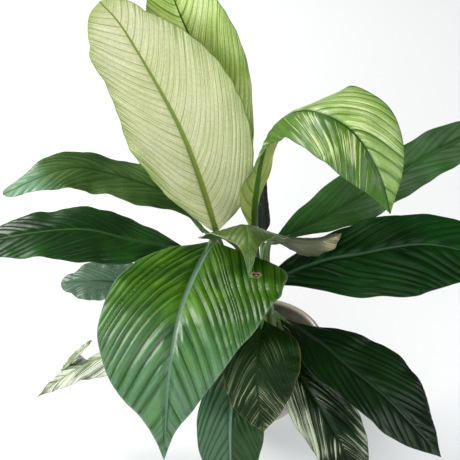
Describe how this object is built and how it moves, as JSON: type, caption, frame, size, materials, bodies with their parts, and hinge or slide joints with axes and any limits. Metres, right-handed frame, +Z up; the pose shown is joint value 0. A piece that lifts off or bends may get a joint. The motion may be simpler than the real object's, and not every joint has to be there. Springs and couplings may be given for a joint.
{
  "type": "potted peace lily",
  "caption": "Peace lily with broad, quilted and partly cream-marbled leaves on slim stalks, growing from a crown in a low glazed pot of soil.",
  "frame": {"origin": "centre of the pot's flat underside, where it rests", "axes": "+Z up along the pot's axis; the plant's front, with its largest arching leaf, faces -Y; +X is to the right seen from the front"},
  "size_m": [0.6154, 0.3801, 0.585],
  "materials": {
    "pot_glaze": "glossy warm grey-taupe glaze, slightly mottled",
    "potting_soil": "loose dark peat with bark bits",
    "crown": "fibrous green-brown crown with old leaf bases",
    "leaf_pale": "thin pale cream-green leaf with olive midrib, light shines through",
    "leaf_lime": "bright yellow-green leaf with dark curved veins",
    "leaf_green": "mid green quilted leaf with soft gloss",
    "leaf_dark": "deep green quilted leaf with a waxy gloss",
    "leaf_marbled": "dark green leaf with cream marbling",
    "leaf_cream": "cream-white leaf with green streaks and a brown tip",
    "stalk": "smooth green stalk, satin"
  },
  "bodies": {
    "root": {"pot": "pot_glaze", "soil": "potting_soil", "crown": "crown", "leaf_tall_pale": "leaf_pale", "stalk_tall_pale": "stalk", "leaf_tall_back": "leaf_lime", "stalk_tall_back": "stalk", "leaf_arching": "leaf_lime", "stalk_arching": "stalk", "leaf_left_upper": "leaf_green", "stalk_left_upper": "stalk", "leaf_left_lower": "leaf_dark", "stalk_left_lower": "stalk", "leaf_left_small": "leaf_green", "stalk_left_small": "stalk", "leaf_front_large": "leaf_green", "stalk_front_large": "stalk", "leaf_curled": "leaf_green", "stalk_curled": "stalk", "leaf_furled": "leaf_marbled", "stalk_furled": "stalk", "leaf_right_upper": "leaf_dark", "stalk_right_upper": "stalk", "leaf_right_lower": "leaf_dark", "stalk_right_lower": "stalk", "leaf_front_right": "leaf_dark", "stalk_front_right": "stalk", "leaf_front_centre": "leaf_marbled", "stalk_front_centre": "stalk", "leaf_front_marbled": "leaf_marbled", "stalk_front_marbled": "stalk", "leaf_front_low": "leaf_green", "stalk_front_low": "stalk", "leaf_cream": "leaf_cream", "stalk_cream": "stalk", "leaf_behind": "leaf_dark", "stalk_behind": "stalk"}
  },
  "joints": []
}
